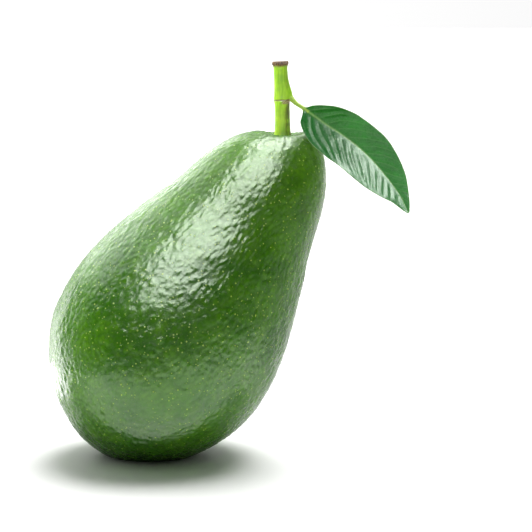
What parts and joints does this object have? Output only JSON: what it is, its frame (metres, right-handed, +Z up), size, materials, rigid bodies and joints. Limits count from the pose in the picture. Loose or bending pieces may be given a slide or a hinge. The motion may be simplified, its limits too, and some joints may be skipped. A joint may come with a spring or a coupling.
{
  "type": "avocado",
  "caption": "Whole green-skinned avocado as picked, pear-shaped, with its short cut stem and one leaf, standing on a small flat spot.",
  "frame": {"origin": "on the small flat spot that the fruit stands on, below the middle of its broad end", "axes": "+Z is up, out of the surface it stands on; the neck leans towards +X, and the leaf hangs on the +X side of the stem and faces -Y"},
  "size_m": [0.1098, 0.0704, 0.1205],
  "materials": {
    "fruit_skin": "satin",
    "stem_bark": "satin",
    "leaf_green": "satin"
  },
  "bodies": {
    "root": {"fruit": "fruit_skin", "stem": "stem_bark", "leaf": "leaf_green"}
  },
  "joints": []
}
